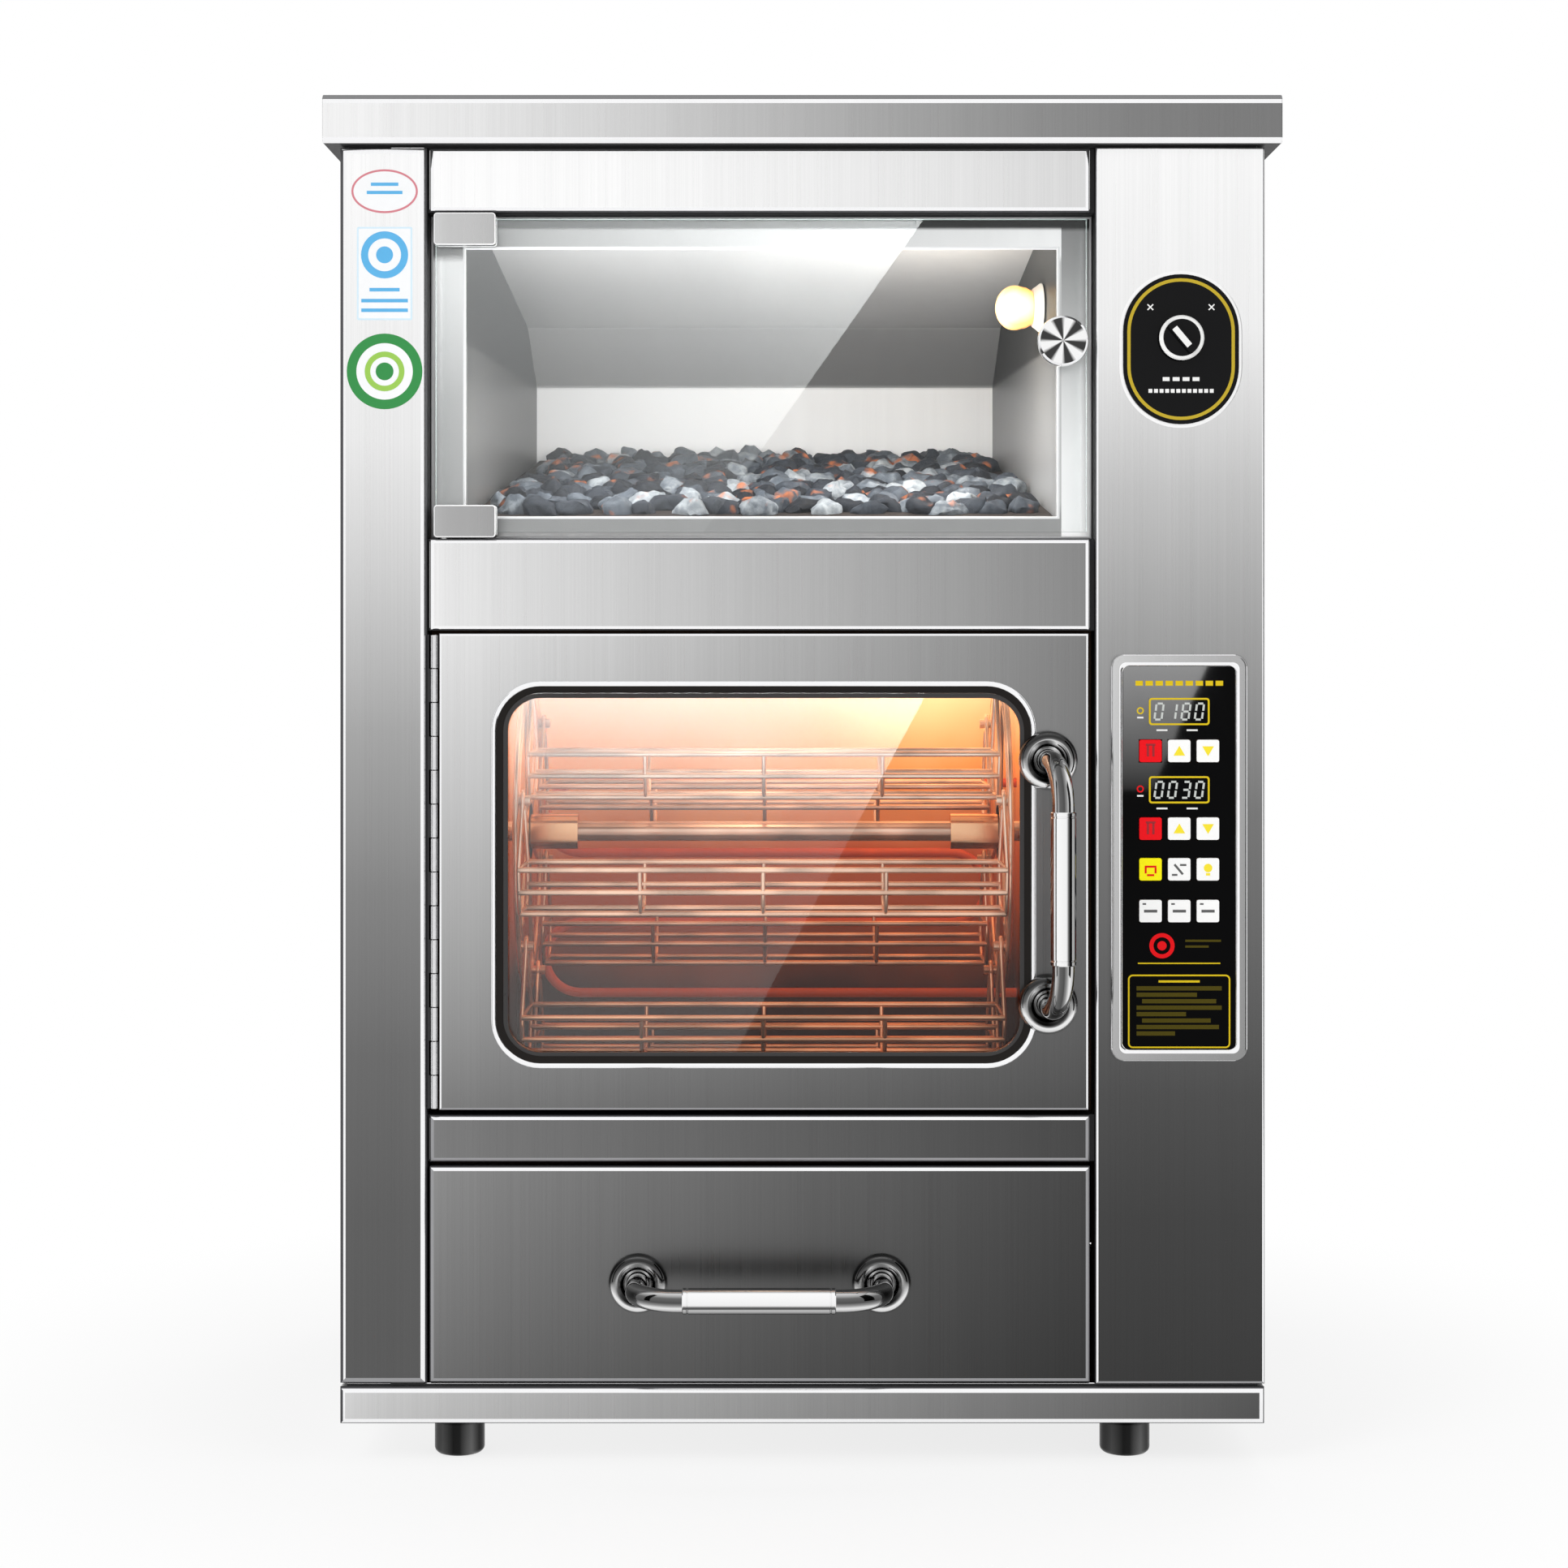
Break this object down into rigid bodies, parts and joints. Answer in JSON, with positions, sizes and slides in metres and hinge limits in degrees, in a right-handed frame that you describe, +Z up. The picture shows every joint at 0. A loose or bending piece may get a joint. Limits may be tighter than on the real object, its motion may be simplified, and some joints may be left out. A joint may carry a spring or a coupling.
{
  "type": "electric roaster",
  "caption": "Upright stainless roasting oven with a glazed display case, a glazed oven holding a turning basket carousel, a lower drawer and a control column.",
  "frame": {"origin": "on the floor, under the centre of the bounding box", "axes": "+Z up, +Y towards the back, +X to the right seen from the front, where the doors and the drawer are"},
  "size_m": [0.697, 0.6056, 0.998],
  "materials": {
    "stainless": "vertically brushed stainless sheet",
    "dark_stainless": "vertically brushed stainless sheet, darker",
    "polished": "polished stainless",
    "liner": "satin sheet, heat tinted",
    "glass": "clear toughened glass",
    "rubber": "moulded black rubber",
    "black_plastic": "gloss black plastic",
    "seal": "woven heat-proof seal",
    "stone": "dark river stones",
    "ceramic": "white ceramic lamp base",
    "lamp": "warm glowing bulb",
    "heater": "oxidised heater sheath",
    "motor": "painted gearmotor",
    "red_key": "red key cap",
    "yellow_key": "yellow key cap",
    "white_key": "white key cap"
  },
  "bodies": {
    "cabinet": {"worktop": "stainless", "left_side_panel": "stainless", "right_side_panel": "stainless", "back_panel": "dark_stainless", "base_plinth": "dark_stainless", "control_column": "stainless", "header_rail": "stainless", "middle_rail": "stainless", "lower_rail": "dark_stainless", "oven_liner": "liner", "display_liner": "liner", "stone_bed": "stone", "lamp_holder": "ceramic", "lamp_bulb": "lamp", "heating_element": "heater", "gearmotor": "motor", "control_bezel": "polished", "control_fascia": "black_plastic", "switch_plate": "black_plastic", "foot_front_left": "rubber", "foot_front_right": "rubber", "foot_rear_left": "rubber", "foot_rear_right": "rubber", "cable_gland": "black_plastic", "door_hinge": "polished"},
    "display_door": {"glass_pane": "glass", "upper_clamp": "polished", "lower_clamp": "polished", "pane_knob": "polished"},
    "oven_door": {"door_panel": "stainless", "door_inner_pan": "liner", "window_trim": "polished", "window_glass": "glass", "door_seal": "seal", "door_handle": "polished"},
    "drawer": {"drawer_box": "dark_stainless", "drawer_front": "dark_stainless", "drawer_handle": "polished"},
    "carousel": {"wheel_axle": "polished", "left_wheel": "polished", "right_wheel": "polished"},
    "light_knob": {"switch_knob": "black_plastic"},
    "basket_1": {"basket_1": "polished"},
    "basket_2": {"basket_2": "polished"},
    "basket_3": {"basket_3": "polished"},
    "basket_4": {"basket_4": "polished"},
    "basket_5": {"basket_5": "polished"},
    "basket_6": {"basket_6": "polished"},
    "key_stop_upper": {"key_stop_upper": "red_key"},
    "key_up_upper": {"key_up_upper": "white_key"},
    "key_down_upper": {"key_down_upper": "white_key"},
    "key_stop_lower": {"key_stop_lower": "red_key"},
    "key_up_lower": {"key_up_lower": "white_key"},
    "key_down_lower": {"key_down_lower": "white_key"},
    "key_roast": {"key_roast": "yellow_key"},
    "key_turn": {"key_turn": "white_key"},
    "key_lamp": {"key_lamp": "white_key"},
    "key_preset_a": {"key_preset_a": "white_key"},
    "key_preset_b": {"key_preset_b": "white_key"},
    "key_preset_c": {"key_preset_c": "white_key"}
  },
  "joints": [
    {"name": "display_door_swing", "type": "hinge", "parent": "cabinet", "child": "display_door", "pos_m": [-0.262, -0.22553, 0.7955], "axis": [0, 0, -1], "range_deg": [0, 100]},
    {"name": "oven_door_swing", "type": "hinge", "parent": "cabinet", "child": "oven_door", "pos_m": [-0.2685, -0.23233, 0.433], "axis": [0, 0, -1], "range_deg": [0, 110]},
    {"name": "drawer_slide", "type": "slide", "parent": "cabinet", "child": "drawer", "axis": [0, -1, 0], "range_m": [0, 0.33]},
    {"name": "light_switch_turn", "type": "hinge", "parent": "cabinet", "child": "light_knob", "pos_m": [0.276, -0.23353, 0.822], "axis": [0, 1, 0], "range_deg": [0, 80]},
    {"name": "carousel_turn", "type": "hinge", "parent": "cabinet", "child": "carousel", "pos_m": [-0.029, -0.02852, 0.45], "axis": [1, 0, 0], "continuous": true},
    {"name": "basket_1_hang", "type": "hinge", "parent": "carousel", "child": "basket_1", "pos_m": [-0.029, -0.1425, 0.48054], "axis": [1, 0, 0], "continuous": true},
    {"name": "basket_2_hang", "type": "hinge", "parent": "carousel", "child": "basket_2", "pos_m": [-0.029, -0.05907, 0.56398], "axis": [1, 0, 0], "continuous": true},
    {"name": "basket_3_hang", "type": "hinge", "parent": "carousel", "child": "basket_3", "pos_m": [-0.029, 0.05491, 0.53344], "axis": [1, 0, 0], "continuous": true},
    {"name": "basket_4_hang", "type": "hinge", "parent": "carousel", "child": "basket_4", "pos_m": [-0.029, 0.08545, 0.41946], "axis": [1, 0, 0], "continuous": true},
    {"name": "basket_5_hang", "type": "hinge", "parent": "carousel", "child": "basket_5", "pos_m": [-0.029, 0.00202, 0.33602], "axis": [1, 0, 0], "continuous": true},
    {"name": "basket_6_hang", "type": "hinge", "parent": "carousel", "child": "basket_6", "pos_m": [-0.029, -0.11196, 0.36656], "axis": [1, 0, 0], "continuous": true},
    {"name": "key_stop_upper_press", "type": "slide", "parent": "cabinet", "child": "key_stop_upper", "axis": [0, 1, 0], "range_m": [0, 0.0008], "stiffness_N_per_m": 800},
    {"name": "key_up_upper_press", "type": "slide", "parent": "cabinet", "child": "key_up_upper", "axis": [0, 1, 0], "range_m": [0, 0.0008], "stiffness_N_per_m": 800},
    {"name": "key_down_upper_press", "type": "slide", "parent": "cabinet", "child": "key_down_upper", "axis": [0, 1, 0], "range_m": [0, 0.0008], "stiffness_N_per_m": 800},
    {"name": "key_stop_lower_press", "type": "slide", "parent": "cabinet", "child": "key_stop_lower", "axis": [0, 1, 0], "range_m": [0, 0.0008], "stiffness_N_per_m": 800},
    {"name": "key_up_lower_press", "type": "slide", "parent": "cabinet", "child": "key_up_lower", "axis": [0, 1, 0], "range_m": [0, 0.0008], "stiffness_N_per_m": 800},
    {"name": "key_down_lower_press", "type": "slide", "parent": "cabinet", "child": "key_down_lower", "axis": [0, 1, 0], "range_m": [0, 0.0008], "stiffness_N_per_m": 800},
    {"name": "key_roast_press", "type": "slide", "parent": "cabinet", "child": "key_roast", "axis": [0, 1, 0], "range_m": [0, 0.0008], "stiffness_N_per_m": 800},
    {"name": "key_turn_press", "type": "slide", "parent": "cabinet", "child": "key_turn", "axis": [0, 1, 0], "range_m": [0, 0.0008], "stiffness_N_per_m": 800},
    {"name": "key_lamp_press", "type": "slide", "parent": "cabinet", "child": "key_lamp", "axis": [0, 1, 0], "range_m": [0, 0.0008], "stiffness_N_per_m": 800},
    {"name": "key_preset_a_press", "type": "slide", "parent": "cabinet", "child": "key_preset_a", "axis": [0, 1, 0], "range_m": [0, 0.0008], "stiffness_N_per_m": 800},
    {"name": "key_preset_b_press", "type": "slide", "parent": "cabinet", "child": "key_preset_b", "axis": [0, 1, 0], "range_m": [0, 0.0008], "stiffness_N_per_m": 800},
    {"name": "key_preset_c_press", "type": "slide", "parent": "cabinet", "child": "key_preset_c", "axis": [0, 1, 0], "range_m": [0, 0.0008], "stiffness_N_per_m": 800}
  ],
  "couplings": [
    {"joint": "basket_1_hang", "follows": "carousel_turn", "ratio": -1},
    {"joint": "basket_2_hang", "follows": "carousel_turn", "ratio": -1},
    {"joint": "basket_3_hang", "follows": "carousel_turn", "ratio": -1},
    {"joint": "basket_4_hang", "follows": "carousel_turn", "ratio": -1},
    {"joint": "basket_5_hang", "follows": "carousel_turn", "ratio": -1},
    {"joint": "basket_6_hang", "follows": "carousel_turn", "ratio": -1}
  ]
}
